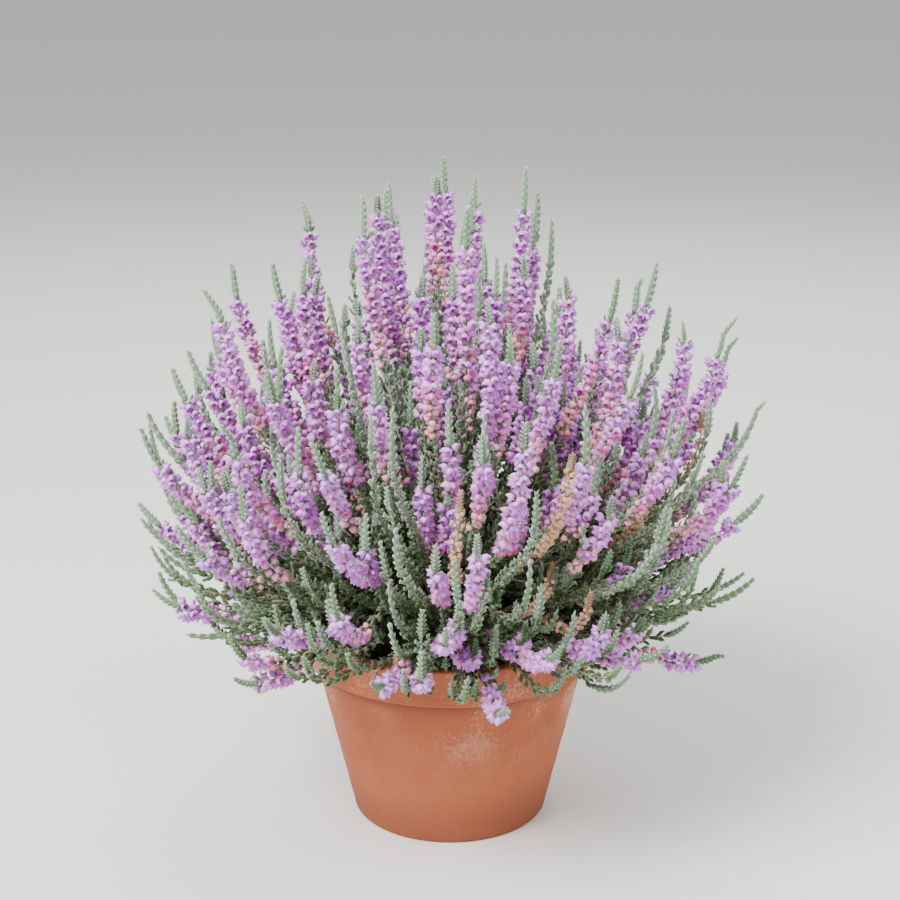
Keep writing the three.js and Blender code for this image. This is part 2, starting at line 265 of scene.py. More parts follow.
# %% Shoots that part from the main ones
def side_branches(many, widest, first_item, least_apart, part, share, flowering):
    """Rows for shoots spread over the dome, less those that would nearly repeat a main shoot. Where
    each parts, and its share of the full reach, go from a least value up by a draw. The share in
    flower goes from a highest value, in the crown, down by a loss, sooner at the front."""
    polar, azimuth = spread_out(many, widest, 5.0, first_item)
    alike = direction(polar, azimuth) @ direction(main["polar"], main["azimuth"]).T
    keep = np.degrees(np.arccos(np.clip(alike.max(axis=1), -1, 1))) > least_apart
    polar, azimuth, parent = polar[keep], azimuth[keep], alike.argmax(axis=1)[keep]
    item = first_item + np.arange(many)[keep]
    wanted = reach_at(polar) * (share[0] + share[1] * draw(item, 29))
    reach = np.minimum(wanted, furthest(polar, wanted))
    front = np.maximum(np.cos(np.radians(azimuth + 90.0)), 0)
    in_flower = flowering[0] - flowering[1] * smooth((polar - 40 + 12 * front) / 26)
    return {
        "polar": polar,
        "azimuth": azimuth,
        "reach": reach,
        "full": reach,
        "arch": 1 + draw(item, 30) * (0.25 + 0.95 * np.cos(np.radians(polar))),
        "fork": main["fork"][parent],
        "turn": 90 * draw(item, 24),
        "tip": 9 + 25 * draw(item, 25) ** 1.5,
        "blooms": draw(item, 26) < in_flower,
        "spike": (0.24 - 0.04 * polar / WIDEST_POLAR + around(item, 27, 0.14)) * reach,
        "spray": main["spray"][parent],
        "parent": parent,
        "part": (part[0] + part[1] * draw(item, 28)) * reach,
    }


second = side_branches(
    472, 73.0, 100, 3.2, part=(0.3, 0.22), share=(0.66, 0.32), flowering=(0.86, 0.7))
low = side_branches(
    230, 72.0, 600, 3.0, part=(0.36, 0.1), share=(0.34, 0.3), flowering=(0.06, 0.0))
shoots = {key: np.concatenate([main[key], second[key], low[key]]) for key in main}
COUNT = len(shoots["polar"])
item = np.arange(COUNT)
print("shoots:", COUNT, "of them low:", len(low["polar"]))

# %% Withered and leafy ones
DRY_POLAR, DRY_SPAN = 52, 14  # the belt that has withered shoots, up and down from its middle
DRY_AZIMUTH = -50.0  # the side that has most of them, at the front right
DRY_TIP, LEAFY_TIP = 9.0, 1.45  # a withered tip's length, and how much longer a leafy one is
DRY_SPIKE = 0.3  # share of the reach
DRY_FROM = 0.58  # share of the reach from which the leaves are withered too

on_dry_side = np.cos(np.radians(shoots["azimuth"] - DRY_AZIMUTH)) > 0.4
is_second = (item >= MAINS) & (item < MAINS + len(second["polar"]))
in_belt = is_second & (np.abs(shoots["polar"] - DRY_POLAR) < DRY_SPAN)
shoots["dry"] = in_belt & (draw(item, 31) > np.where(on_dry_side, 0.78, 0.98))
shoots["blooms"] = shoots["blooms"] & ~shoots["dry"]
with_florets = shoots["blooms"] | shoots["dry"]
live_tip = shoots["tip"] * np.where(with_florets, 1.0, LEAFY_TIP)
shoots["tip"] = np.where(shoots["dry"], DRY_TIP, live_tip)
shoots["tip_foot"] = shoots["reach"] - shoots["tip"]
shoots["spike"] = np.where(shoots["dry"], DRY_SPIKE * shoots["reach"], shoots["spike"])
shoots["leaf_top"] = shoots["tip_foot"] - np.where(with_florets, shoots["spike"], 0)
print("in flower:", int(shoots["blooms"].sum()), "dry:", int(shoots["dry"].sum()))

# %% [markdown]
# ## Points and poses along a shoot
#
# A leaf needs to know where it sits and which way is along, across and up there. Blender's curves
# could carry this as tilt, but the polar rule gives it directly: the difference between two near
# points is the way along, and a level vector made square to it is the way across.

# %% A shoot's point and pose at a radius
PART_SPAN = 75.0  # over which a shoot parts from its parent


def point(rows, r):
    """Where these shoots are at radius r: on the spray's way, then the parent's, then their own,
    blended by smoothsteps, with a small wave sideways that grows along the shoot."""
    s = {key: value[rows] for key, value in shoots.items()}
    shared = way_at(SPRAY_POLAR[s["spray"]], SPRAY_AZIMUTH[s["spray"]], r)
    parents = way_at(main["polar"][s["parent"]], main["azimuth"][s["parent"]], r)
    own = way_at(s["polar"], s["azimuth"], r, s["full"], s["arch"])
    leave = smooth((r - s["fork"]) / (FREE_RADIUS - s["fork"]))[..., None]
    part = smooth((r - s["part"]) / PART_SPAN)[..., None]
    way = shared + (parents - shared) * leave
    way = unit(way + (own - way) * part)
    level = np.stack([-way[..., 1], way[..., 0], 0 * way[..., 0]], -1)
    wave = 0.011 * np.sin(r / 24.0 + 6.3 * draw(rows, 32)) * smooth((r - 120) / 80)
    way = unit(way + level * wave[..., None])
    return HEART + way * r[..., None]


def pose(rows, r):
    """The point on these shoots at radius r, and the unit vectors along, across and up there."""
    along = unit(point(rows, r + 1.0) - point(rows, r - 1.0))
    a = np.radians(shoots["azimuth"][rows] + 0 * r)
    level = np.stack([-np.sin(a), np.cos(a), 0 * a], -1)
    across = square_to(along, level)
    return point(rows, r), along, across, np.cross(along, across)


tips = point(item, shoots["reach"])
print("tips reach up to", np.round(tips[:, 2].max()), "and out to", np.round(np.abs(tips[:, :2]).max()))

# %% [markdown]
# ## From arrays to meshes
#
# Blender can take a whole array of points at once through foreach_set, which is far faster than
# adding them one by one. The same call writes the map of a piece. That map is a palette: across, it
# runs from the foot of a leaf to its tip, and up, it holds rows of tones, each from the valleys
# between scales to their raised points. Copies may share a place on the map, because they share
# their colours too. The pot needs no map, as its finish goes by the place in space alone.

# %% Making a piece
TONES = 24
EDGE, ROW_EDGE = 0.02, 0.18  # how far the places keep from the palette's sides, and a row's
LIVE_TONE, WITHERED = 0.87, 0.97  # the last tone of living parts, and that of withered ones


class Parts:
    """Points, triangles and palette places, gathered for one piece."""

    def __init__(self):
        self.points, self.faces, self.places, self.size = [], [], [], 0

    def add(self, points, faces, places=None):
        """Take in copies: points is copies by points by 3, and faces fit one copy."""
        copies, each = points.shape[:2]
        shift = self.size + each * np.arange(copies)
        self.points.append(points.reshape(-1, 3))
        self.faces.append((faces[None] + shift[:, None, None]).reshape(-1, 3))
        self.size += copies * each
        if places is not None:
            self.places.append(places.reshape(-1, 2))


def palette(along, ridge, tone):
    """Places on the palette, from three numbers between 0 and 1: how far along a leaf, how high on
    its scales, and its tone, which is rounded down to a row."""
    row = np.clip(np.floor(tone * TONES), 0, TONES - 1)
    u = np.broadcast_to(EDGE + (1 - 2 * EDGE) * along, np.broadcast(along, row).shape)
    return np.stack([u, (row + ROW_EDGE + (1 - 2 * ROW_EDGE) * ridge) / TONES], -1)


print("palette:", TONES, "rows, the last living one", int(LIVE_TONE * TONES))


# %% One object from the arrays
def add_object(name, data):
    """A new object in the scene, at the origin."""
    obj = bpy.data.objects.new(name, data)
    bpy.context.scene.collection.objects.link(obj)
    return obj


triangles = {}


def make_piece(name, parts, material):
    """One mesh object in metres, with smooth faces and its palette map, if it has one."""
    points = np.concatenate(parts.points) * MM
    faces = np.concatenate(parts.faces).astype(np.int32)
    mesh = bpy.data.meshes.new(name)
    mesh.vertices.add(len(points))
    mesh.vertices.foreach_set("co", points.astype(np.float32).ravel())
    mesh.loops.add(faces.size)
    mesh.loops.foreach_set("vertex_index", faces.ravel())
    mesh.polygons.add(len(faces))
    mesh.polygons.foreach_set("loop_start", np.arange(0, faces.size, 3, dtype=np.int32))
    mesh.polygons.foreach_set("use_smooth", np.ones(len(faces), dtype=bool))
    if parts.places:
        places = np.concatenate(parts.places)
        layer = mesh.uv_layers.new(name="OFBake")
        layer.uv.foreach_set("vector", places[faces.ravel()].astype(np.float32).ravel())
    mesh.update(calc_edges=True)
    mesh.materials.append(material)
    piece = add_object(name, mesh)
    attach(piece, "root")
    triangles[name] = len(faces)
    print(f"{name}: {len(faces)} triangles")
    return piece


# %% [markdown]
# ## Shader maths in Python
#
# A material is a graph of nodes. They could be added and linked one by one, but a formula reads
# better as a formula. This class wraps a node's output, so that a sum or a product of two adds its
# Math node. Python tries the reflected form when the left side is a plain number, which is what
# makes `1 - mask` work.


# %% A node's output that can be reckoned with
class Link:
    """One output in a material. Arithmetic on it adds Math nodes."""

    def __init__(self, tree, socket):
        self.tree, self.socket = tree, socket

    def node(self, kind, settings=None, inputs=None, output=0):
        """Add a node: its settings first, then values or links for its sockets."""
        node = self.tree.nodes.new("ShaderNode" + kind)
        for name, value in (settings or {}).items():
            if name == "stops":
                set_stops(node.color_ramp, value)
            else:
                setattr(node, name, value)
        for key, value in (inputs or {}).items():
            if isinstance(value, Link):
                self.tree.links.new(value.socket, node.inputs[key])
            else:
                node.inputs[key].default_value = value
        return Link(self.tree, node.outputs[output])

    def math(self, operation, a, b=0.0):
        """Add a Math node."""
        return self.node("Math", {"operation": operation}, {0: a, 1: b})

    def __add__(self, other):
        return self.math("ADD", self, other)

    def __sub__(self, other):
        return self.math("SUBTRACT", self, other)

    def __rsub__(self, other):
        return self.math("SUBTRACT", other, self)

    def __mul__(self, other):
        return self.math("MULTIPLY", self, other)

    __radd__, __rmul__ = __add__, __mul__

    def within(self, low, high):
        """0 below low, 1 above high, and smooth between them."""
        settings = {"interpolation_type": "SMOOTHSTEP", "clamp": True}
        return self.node("MapRange", settings, {"Value": self, "From Min": low, "From Max": high})

    def mix(self, a, b):
        """Colour a where this is 0, and colour b where it is 1."""
        inputs = {"Factor": self, 6: a, 7: b}
        return self.node("Mix", {"data_type": "RGBA"}, inputs, output=2)

    def ramp(self, stops):
        """A colour ramp over this, from its places and their sRGB colours."""
        stops = [(place, paint(*color)) for place, color in stops.items()]
        return self.node("ValToRGB", {"stops": stops}, {"Fac": self})


# %% Colours
def set_stops(ramp, stops):
    """Give a colour ramp its stops, each a place from 0 to 1 and a colour."""
    while len(ramp.elements) < len(stops):
        ramp.elements.new(1.0)
    for element, (place, color) in zip(ramp.elements, stops):
        element.position = place
        element.color = color


def paint(red, green, blue):
    """An sRGB colour, as read off a paint chart from 0 to 255, in Blender's linear values."""
    c = np.array([red, green, blue]) / 255.0
    linear = np.where(c <= 0.04045, c / 12.92, ((c + 0.055) / 1.055) ** 2.4)
    return (*linear.tolist(), 1.0)


print("a mid grey is", np.round(paint(128, 128, 128)[:3], 3))


# %% Starting and ending a material
def start_finish(name):
    """A new material, its shader, and a link to its object coordinates, which are in metres."""
    material = bpy.data.materials.new(name)
    material.use_nodes = True
    tree = material.node_tree
    shader = tree.nodes["Principled BSDF"]
    coordinates = tree.nodes.new("ShaderNodeTexCoord")
    return material, shader, Link(tree, coordinates.outputs["Object"])


def connect(shader, **inputs):
    """Feed links, or plain values, to the shader's sockets."""
    for name, value in inputs.items():
        socket = shader.inputs[name.replace("_", " ")]
        if isinstance(value, Link):
            value.tree.links.new(value.socket, socket)
        else:
            socket.default_value = value


def palette_place(link):
    """Three links that undo the palette: how far along a leaf, its tone from 0 to 1, and how high
    on its scales, which is 1 on raised points and 0 between them."""
    uv = link.node("UVMap", {"uv_map": "OFBake"})
    split = link.node("SeparateXYZ", None, {"Vector": uv})
    up = Link(link.tree, split.socket.node.outputs["Y"]) * TONES
    row = link.math("FLOOR", up)
    along = (split - EDGE) * (1 / (1 - 2 * EDGE))
    ridge = (up - row - ROW_EDGE) * (1 / (1 - 2 * ROW_EDGE))
    return along, row * (1 / (TONES - 1)), ridge


def bumped(link, height, distance):
    """A normal from a height: how far the surface stands out, in metres, where the height is 1."""
    return link.node("Bump", None, {"Height": height, "Distance": distance, "Strength": 1.0})


# %% [markdown]
# ## Leaves like felt
#
# The leaves of this heather are tiny scales covered in white down. Up close the down shows as a pale
# edge on each scale and a green valley between them, and from afar as silver over green. Real fur
# would be lost on leaves this small, so the finish mixes two ramps, green and down. Both go by tone,
# from shaded green inside the bush to silver at the tips, and the last tones are withered. Sheen,
# the glow of fibres at grazing angles, is the same all over, so it is set as a plain value.

# %% The foliage's finish
foliage_finish, shader, here = start_finish("downy_leaf")
along, tone, ridge = palette_place(here)
LIVE, DEAD = 0.9, 0.92  # a ramp's last place for living parts, and its first for withered ones
# Low tones are painted shade: dark green inside the bush and on shoots that lean out low.
green = tone.ramp({
    0.0: (42, 62, 20), 0.3: (62, 90, 38), 0.6: (84, 112, 70), 0.85: (104, 130, 102),
    LIVE: (104, 130, 102), DEAD: (172, 126, 90)})
down = tone.ramp({
    0.0: (96, 118, 62), 0.4: (140, 162, 114), 0.85: (206, 222, 206),
    LIVE: (206, 222, 206), DEAD: (206, 170, 134)})
speck = here.node("TexNoise", None, {"Vector": here, "Scale": 900.0, "Detail": 3.0})
cover = (ridge * 0.85 + along * along * 0.2 + speck * 0.5 - 0.42).within(0.0, 1.0)
connect(shader, Base_Color=cover.mix(green, down), Roughness=0.82, Sheen_Weight=0.25,
        Sheen_Roughness=0.5, Normal=bumped(here, speck, 0.0003))
print("finish:", foliage_finish.name)

# %% [markdown]
# ## Petals from lilac to salmon
#
# The bells open from the foot of a spike upwards, so the lower ones are the oldest. Fresh ones are
# lilac, fading ones turn pink and then salmon, and dead ones are straw, and all get a painted pearly
# highlight on their backs. The inside of a bell is painted dark magenta, as shade. Colours drawn at
# random wouldn't fade down a spike, so the palette's rows run from fresh to faded, and white noise
# gives each row its own brightness.

# %% The florets' finish
floret_finish, shader, here = start_finish("heather_petal")
along, tone, ridge = palette_place(here)
back = tone.ramp({
    0.0: (198, 94, 226), 0.35: (198, 88, 206), 0.6: (208, 92, 162), 0.85: (222, 116, 132),
    LIVE: (222, 116, 132), DEAD: (204, 150, 112)})
# Painted highlight: a pale pearly colour, mixed onto the backs of the bells.
painted_highlight = tone.ramp({
    0.0: (244, 184, 255), 0.6: (250, 180, 238), 0.85: (250, 186, 194),
    LIVE: (250, 186, 194), DEAD: (236, 202, 166)})
# Painted shade: a dark colour for the throat inside each bell.
throat = tone.ramp({
    0.0: (126, 44, 104), 0.6: (140, 52, 88), 0.85: (150, 76, 70), DEAD: (120, 80, 54)})
chance = here.node("TexWhiteNoise", {"noise_dimensions": "1D"}, {"W": tone * 37.7}, output=0)
# Where the painted highlight lies: near a bell's back, on its lobes, and more on some rows.
highlight_mask = (0.45 - along * 0.55 + ridge * 0.55 + chance * 0.45).within(0.35, 1.0)
petal = highlight_mask.mix(back, painted_highlight)
calyx = (0.12 - along).within(0.0, 0.1).mix(petal, paint(196, 176, 150))
inside = along.within(0.74, 0.92).mix(calyx, throat)
connect(shader, Base_Color=inside, Roughness=0.45, Sheen_Weight=0.08, Specular_IOR_Level=0.5)
print("finish:", floret_finish.name)

# %% [markdown]
# ## Bark on thin stems
#
# Young heather wood is beige and smooth, and older wood at the foot is grey-brown and flaking. A
# wave texture would streak it too evenly, so the streaks are noise, stretched by a Mapping node.

# %% The stems' finish
stem_finish, shader, here = start_finish("heather_wood")
along, tone, ridge = palette_place(here)
streaks = here.node("Mapping", None, {"Vector": here, "Scale": (900.0, 900.0, 140.0)})
grain = here.node("TexNoise", None, {"Vector": streaks, "Scale": 1.0, "Detail": 4.0})
smooth_wood = tone.ramp({0.0: (104, 88, 72), 0.35: (172, 154, 130), 0.8: (218, 204, 184)})
flakes = ((1 - grain) * 1.6 - 0.3).within(0.2, 0.9) * 0.5
bark = flakes.mix(smooth_wood, paint(92, 76, 60))
connect(shader, Base_Color=bark, Roughness=0.85, Normal=bumped(here, grain, 0.0006))
print("finish:", stem_finish.name)

# %% [markdown]
# ## Fired clay and soil
#
# A used clay pot is never one orange. Damp makes it darker towards the foot, lime dries out of it as
# a pale bloom higher up, a painted shadow darkens the wall under the band, and fine pits and turning
# lines cover it. Soil is nearly black with lighter crumbs. An image wrapped round the pot would show
# its seam, so both finishes are layers of noise at different sizes, mixed by masks of height or of
# more noise.

# %% The pot's finish
clay_finish, shader, here = start_finish("fired_clay")
broad = here.node("TexNoise", None, {"Vector": here, "Scale": 9.0, "Detail": 5.0, "Roughness": 0.6})
fine = here.node("TexNoise", None, {"Vector": here, "Scale": 420.0, "Detail": 4.0})
lines = here.node("Mapping", None, {"Vector": here, "Scale": (4.0, 4.0, 700.0)})
turning = here.node("TexNoise", None, {"Vector": lines, "Scale": 1.0, "Detail": 2.0})
level = here.node("SeparateXYZ", None, {"Vector": here}, output=2)
body = (broad * 0.8 + fine * 0.3 - 0.05).within(0.2, 0.8).mix(paint(148, 74, 44), paint(184, 102, 64))
damp = (0.055 - level + broad * 0.06 - 0.03).within(0.0, 0.05) * 0.5
darker = damp.mix(body, paint(108, 54, 34))
bloom = (broad + fine * 0.35).within(0.66, 0.86) * level.within(0.06, 0.13) * 0.6
limed = bloom.mix(darker, paint(218, 190, 166))
band_foot = (POT_HEIGHT - BAND) * MM
# Painted shadow under the band: the wall darkens over the 14 mm below the band's foot, mottled by
# noise.
painted_band_shadow = level.within(band_foot - 0.014, band_foot) * (1 - level.within(band_foot, band_foot + 0.002))
clay_with_painted_shadow = (painted_band_shadow * (0.35 + broad * 0.6)).mix(limed, paint(92, 46, 30))
relief = fine * 0.6 + turning * 0.7
connect(shader, Base_Color=clay_with_painted_shadow, Roughness=0.86, Normal=bumped(here, relief, 0.0005))
print("finish:", clay_finish.name)

# %% The soil's finish
soil_finish, shader, here = start_finish("potting_soil")
along, tone, ridge = palette_place(here)
crumb = here.node("TexNoise", None, {"Vector": here, "Scale": 260.0, "Detail": 6.0, "Roughness": 0.7})
grit = here.node("TexVoronoi", None, {"Vector": here, "Scale": 320.0})
earth = crumb.within(0.35, 0.7).mix(paint(30, 22, 16), paint(78, 58, 42))
bits = (crumb * 0.7 + tone - 0.2).within(0.1, 1.0).mix(paint(70, 48, 32), paint(150, 118, 86))
soil_colour = along.within(0.45, 0.55).mix(earth, bits)  # bits have the palette's right half
connect(shader, Base_Color=soil_colour, Roughness=0.95, Normal=bumped(here, crumb + grit * 0.4, 0.0012))
print("finish:", soil_finish.name)

# %% [markdown]
# ## A braided side shoot
#
# The short side shoots look braided, because their scales stand in four overlapping ranks. Each
# scale could be a leaf of its own, but there are thousands of side shoots. A cheap lattice gives the
# same braid: rings of four points in which every second point stands out, stitched so that each
# raised point is a small pyramid.


# %% Rings of points, and how they are stitched
def ring(degrees, radius, height):
    """Points at the angles, at a radius and a height."""
    a = np.radians(degrees)
    return np.stack([radius * np.cos(a), radius * np.sin(a), height + 0 * a], -1)


def turns(sides):
    """Equal angles round a circle, in degrees."""
    return 360 / sides * np.arange(sides)


def fan(centre, ring_points):
    """Triangles from one point to each two neighbours of a ring."""
    return np.stack([0 * ring_points + centre, ring_points, np.roll(ring_points, -1)], -1)


def band(low, high):
    """Two triangles between each two neighbours of a ring and the ring above it."""
    low_next, high_next = np.roll(low, -1), np.roll(high, -1)
    one, two = np.stack([low, low_next, high], -1), np.stack([low_next, high_next, high], -1)
    return np.concatenate([one, two])


def lattice_faces(rings, columns):
    """Triangles of a closed lattice: rings of columns, then a foot point and a top point. A quad is
    split between its low corners, so that raised corners stay whole."""
    j = np.arange(columns)
    k = (j + 1) % columns
    last = (rings - 1) * columns
    faces = [fan(rings * columns, j)[:, ::-1], fan(rings * columns + 1, last + j)]
    for n in range(rings - 1):
        a, b = n * columns, (n + 1) * columns
        even = (n + j) % 2 == 0
        faces.append(np.stack([a + j, a + k, np.where(even, b + j, b + k)], -1))
        faces.append(np.stack([np.where(even, a + k, a + j), b + k, b + j], -1))
    return np.concatenate(faces)


def raised(rings, columns):
    """1 at the raised points of a lattice, 0 at the low ones, and a half at its two ends."""
    n, j = np.meshgrid(np.arange(rings), np.arange(columns), indexing="ij")
    return np.append(((n + j) % 2 == 0).ravel() * 1.0, [0.5, 0.5])


print("two rings of four, stitched and closed:", len(lattice_faces(2, 4)), "triangles")

# %% The side shoots' templates
RANKS = 4


def braided_shoot(z, radius):
    """Points of a side shoot, one unit long on z and one across: rings at heights z whose raised
    points stand 1.2 of the radius out and low ones 0.72, bent towards x by half of z squared."""
    z, radius = np.array(z), np.array(radius)
    lift = raised(len(z), RANKS)
    up = lift[:-2].reshape(len(z), RANKS)
    wide = radius[:, None] * np.where(up > 0, 1.2, 0.72)
    rings = ring(45 + turns(RANKS), wide, z[:, None] + 0.08 * up)
    points = np.vstack([rings.reshape(-1, 3), [[0, 0, -0.04], [0, 0, 1.0]]])
    points[:, 0] += 0.5 * points[:, 2] ** 2
    return points, lattice_faces(len(z), RANKS), np.clip(points[:, 2], 0, 1), lift


SIDE_SHOOT = braided_shoot([0.14, 0.4, 0.66, 0.88], [0.36, 0.52, 0.5, 0.36])
SHORT_SHOOT = braided_shoot([0.2, 0.55, 0.84], [0.42, 0.54, 0.4])
print("side shoots:", len(SIDE_SHOOT[1]), "and", len(SHORT_SHOOT[1]), "triangles")

# %% [markdown]
# ## Putting copies in place
#
# Side shoots sit on a shoot in pairs, and each pair crosses the one below. A copy is the template's
# points times three unit vectors, plus a place, and one numpy expression makes thousands at once.
# Blender's instances would be lighter, but a part that is exported needs real meshes.

# %% Copies of a template on the shoots
POT_INSIDE = RIM_RADIUS - 14  # copies from here out must pass over the rim
CLEARANCE = 1.5


def copies(points, place, x, y, z, thick, long):
    """Copies of template points: their x and y times thick, and their z times long, at each place."""
    flat = (points[..., 0:1] * x[:, None] + points[..., 1:2] * y[:, None]) * thick[:, None, None]
    return place[:, None] + flat + points[..., 2:3] * z[:, None] * long[:, None, None]


def add_copies(parts, template, keep, tone, *where):
    """Add the copies that are kept, each with its own tone."""
    points, faces, along, ridge = template
    made = copies(points, *(values[keep] for values in where))
    parts.add(made, faces, palette(along[None], ridge[None], tone[keep][:, None]))


def stations(rows, first, last, pitch):
    """Evenly spaced radii along shoots: which shoot, its count along it, and the radius."""
    count = np.maximum(0, np.round((last - first) / pitch)).astype(int)
    order = np.arange(count.sum()) - np.repeat(np.cumsum(count) - count, count)
    row = np.repeat(np.arange(len(rows)), count)
    share = (order + 0.5) / count[row]
    return rows[row], order, first[row] + share * (last - first)[row]


def clear_of_pot(place, end):
    """True for copies that neither start, pass nor end in the pot's wall or below the soil."""
    keep = np.ones(len(place), dtype=bool)
    for p in (place, end, (place + end) / 2):
        out = np.hypot(p[:, 0], p[:, 1])
        in_wall = (out > POT_INSIDE) & (out < RIM_RADIUS + CLEARANCE)
        keep &= ~(in_wall & (p[:, 2] < POT_HEIGHT + CLEARANCE))
        keep &= ~((out <= POT_INSIDE) & (p[:, 2] < SOIL_LEVEL + 1))
    return keep


# %% Pairs of side shoots
def side_shoots(parts, template, rows, order, r, spread, long, thick, tone):
    """Add a pair of side shoots at each station, a quarter turn from the pair before it. Each leans
    out from the shoot by its spread and curves back up."""
    spread, long, thick, tone = (np.repeat(v + 0 * r, 2) for v in (spread, long, thick, tone))
    rows, order, r = (np.repeat(v, 2) for v in (rows, order, r))
    twin = np.arange(len(rows)) % 2
    item = np.arange(len(rows)) + 31 * rows
    r = r + around(item, 41, 3.0)
    place, along, across, up = pose(rows, r)
    angle = np.radians(shoots["turn"][rows] + 90 * order + 180 * twin + around(item, 42, 40))
    lean = np.radians(spread + around(item, 43, 22))[:, None]
    z = unit(along * np.cos(lean) + outward(across, up, angle) * np.sin(lean))
    x = square_to(z, along)
    long = long * (1 + around(item, 44, 0.4))
    thick = thick * (1 + around(item, 45, 0.25))
    tone = np.clip(tone + around(item, 46, 0.2), 0, LIVE_TONE)
    withered = shoots["dry"][rows] & (r > DRY_FROM * shoots["reach"][rows])
    tone = np.where(withered, WITHERED, tone)
    keep = clear_of_pot(place, place + z * long[:, None])
    add_copies(parts, template, keep, tone, place, x, np.cross(z, x), z, thick, long)


# %% [markdown]
# ## A bell with four lobes
#
# A floret is a small bell that nods on a short stalk. Its four petals part into pointed lobes, and
# the throat between them is painted dark, as shade. Petals with curves of their own would be lost at
# this size, so fourteen points have to do: the back of the bell, a ring round its body, a rim of four
# lobes and four gaps, and a throat that goes back in. A bud needs only ten.


# %% The floret's templates
LOBES = np.arange(8) % 2 == 0


def open_bell():
    """A bell one unit long: its back, its body's ring, a rim of lobes and gaps, and its throat."""
    rim = ring(turns(8), np.where(LOBES, 0.58, 0.44), np.where(LOBES, 0.94, 0.72))
    points = np.vstack([[[0, 0, 0]], ring(turns(4), 0.5, 0.34), rim, [[0, 0, 0.48]]])
    j = np.arange(4)
    k = (j + 1) % 4
    lobe, gap, next_lobe, throat = 5 + 2 * j, 6 + 2 * j, 5 + 2 * k, 13
    faces = np.concatenate([
        fan(0, 1 + j)[:, ::-1],
        np.stack([1 + j, gap, lobe], -1),
        np.stack([1 + j, 1 + k, gap], -1),
        np.stack([1 + k, next_lobe, gap], -1),
        fan(throat, 5 + np.arange(8)),
    ])
    along = np.repeat([0.0, 0.28, 0.6, 1.0], [1, 4, 8, 1])
    ridge = np.concatenate([[0.5], [0.3, 0.7] * 2, [1.0, 0.0] * 4, [0.5]])
    return points, faces, along, ridge


def two_ring_faces(columns):
    """Triangles of a closed form: a foot point, two rings, and a top point."""
    low, high = 1 + np.arange(columns), 1 + columns + np.arange(columns)
    return np.concatenate([fan(0, low)[:, ::-1], band(low, high), fan(2 * columns + 1, high)])


def closed_bell():
    """A bud one unit long: two rings of four between its back and its tip."""
    rings = ring(turns(4), 0.44, 0.28), ring(turns(4) + 45, 0.4, 0.68)
    points = np.vstack([[[0, 0, 0]], *rings, [[0, 0, 0.96]]])
    along = np.repeat([0.0, 0.26, 0.5, 0.62], [1, 4, 4, 1])
    ridge = np.concatenate([[0.5], [1.0, 0.2] * 2, [0.6, 0.0] * 2, [0.5]])
    return points, two_ring_faces(4), along, ridge


OPEN_BELL, CLOSED_BELL = open_bell(), closed_bell()
print("florets:", len(OPEN_BELL[1]), "and", len(CLOSED_BELL[1]), "triangles")

# %% Florets round a spike
WHORL_PITCH = 6.2
PER_WHORL = 4
FLORET_LENGTH = 6.5


def florets(parts, rows, order, r):
    """Add a whorl of florets at each station, turned half a step from the one below. Age falls up
    the spike, plus a draw: old ones hang as closed beads or have dropped, fresh ones look out."""
    rows, order, r = (np.repeat(v, PER_WHORL) for v in (rows, order, r))
    nth = np.arange(len(rows)) % PER_WHORL
    item = np.arange(len(rows)) + 57 * rows
    r = r + around(item, 51, 3.8)
    place, along, across, up = pose(rows, r)
    share = np.clip((r - shoots["leaf_top"][rows]) / shoots["spike"][rows], 0, 1)
    dry = shoots["dry"][rows]
    angle = np.radians(360 / PER_WHORL * (nth + 0.5 * order) + around(item, 52, 44))
    nod = np.radians(-30 + 14 * share + around(item, 53, 40) + 40 * dry)[:, None]
    weight = np.array([0, 0, -0.4])
    z = unit(outward(across, up, angle) * np.cos(nod) + along * np.sin(nod) + weight)
    x = unit(np.cross(z, along + 0.01))
    size = (FLORET_LENGTH - 0.8 * share**4) * (1 + around(item, 54, 0.26)) * np.where(dry, 0.7, 1.0)
    stalk = 0.9 + 2.0 * draw(item, 55) * ~dry
    age = (1 - share) * 0.7 + around(item, 56, 0.4) + 0.7 * (draw(rows, 57) ** 2 - 0.2) * (1 - share)
    tone = np.where(dry, WITHERED, np.clip(age, 0, LIVE_TONE))
    opened = (age + around(item, 58, 0.5) < 0.5) & ~dry
    size = size * np.where(opened, 1.05, 0.92)
    not_dropped = (draw(item, 59) < 0.56 + 1.1 * share) | dry
    kept = clear_of_pot(place, place + z * size[:, None]) & not_dropped
    start = place + z * stalk[:, None]
    for template, chosen in ((OPEN_BELL, opened & kept), (CLOSED_BELL, ~opened & kept)):
        add_copies(parts, template, chosen, tone, start, x, np.cross(z, x), z, size, size)


print("a whorl has", PER_WHORL, "florets, one every", WHORL_PITCH, "mm")

# %% [markdown]
# ## Spears and stems
#
# The growing tip is the same braid as the side shoots, but long and blunt, so it is a lattice that
# follows the shoot. The stem under all this is a thin tube on the same path. A curve with a bevel
# could make it too, but the ways along and across the path are already there.

# %% Lattices that follow the shoots
SPEAR_RINGS = 13
SPEAR_RADIUS = 2.9


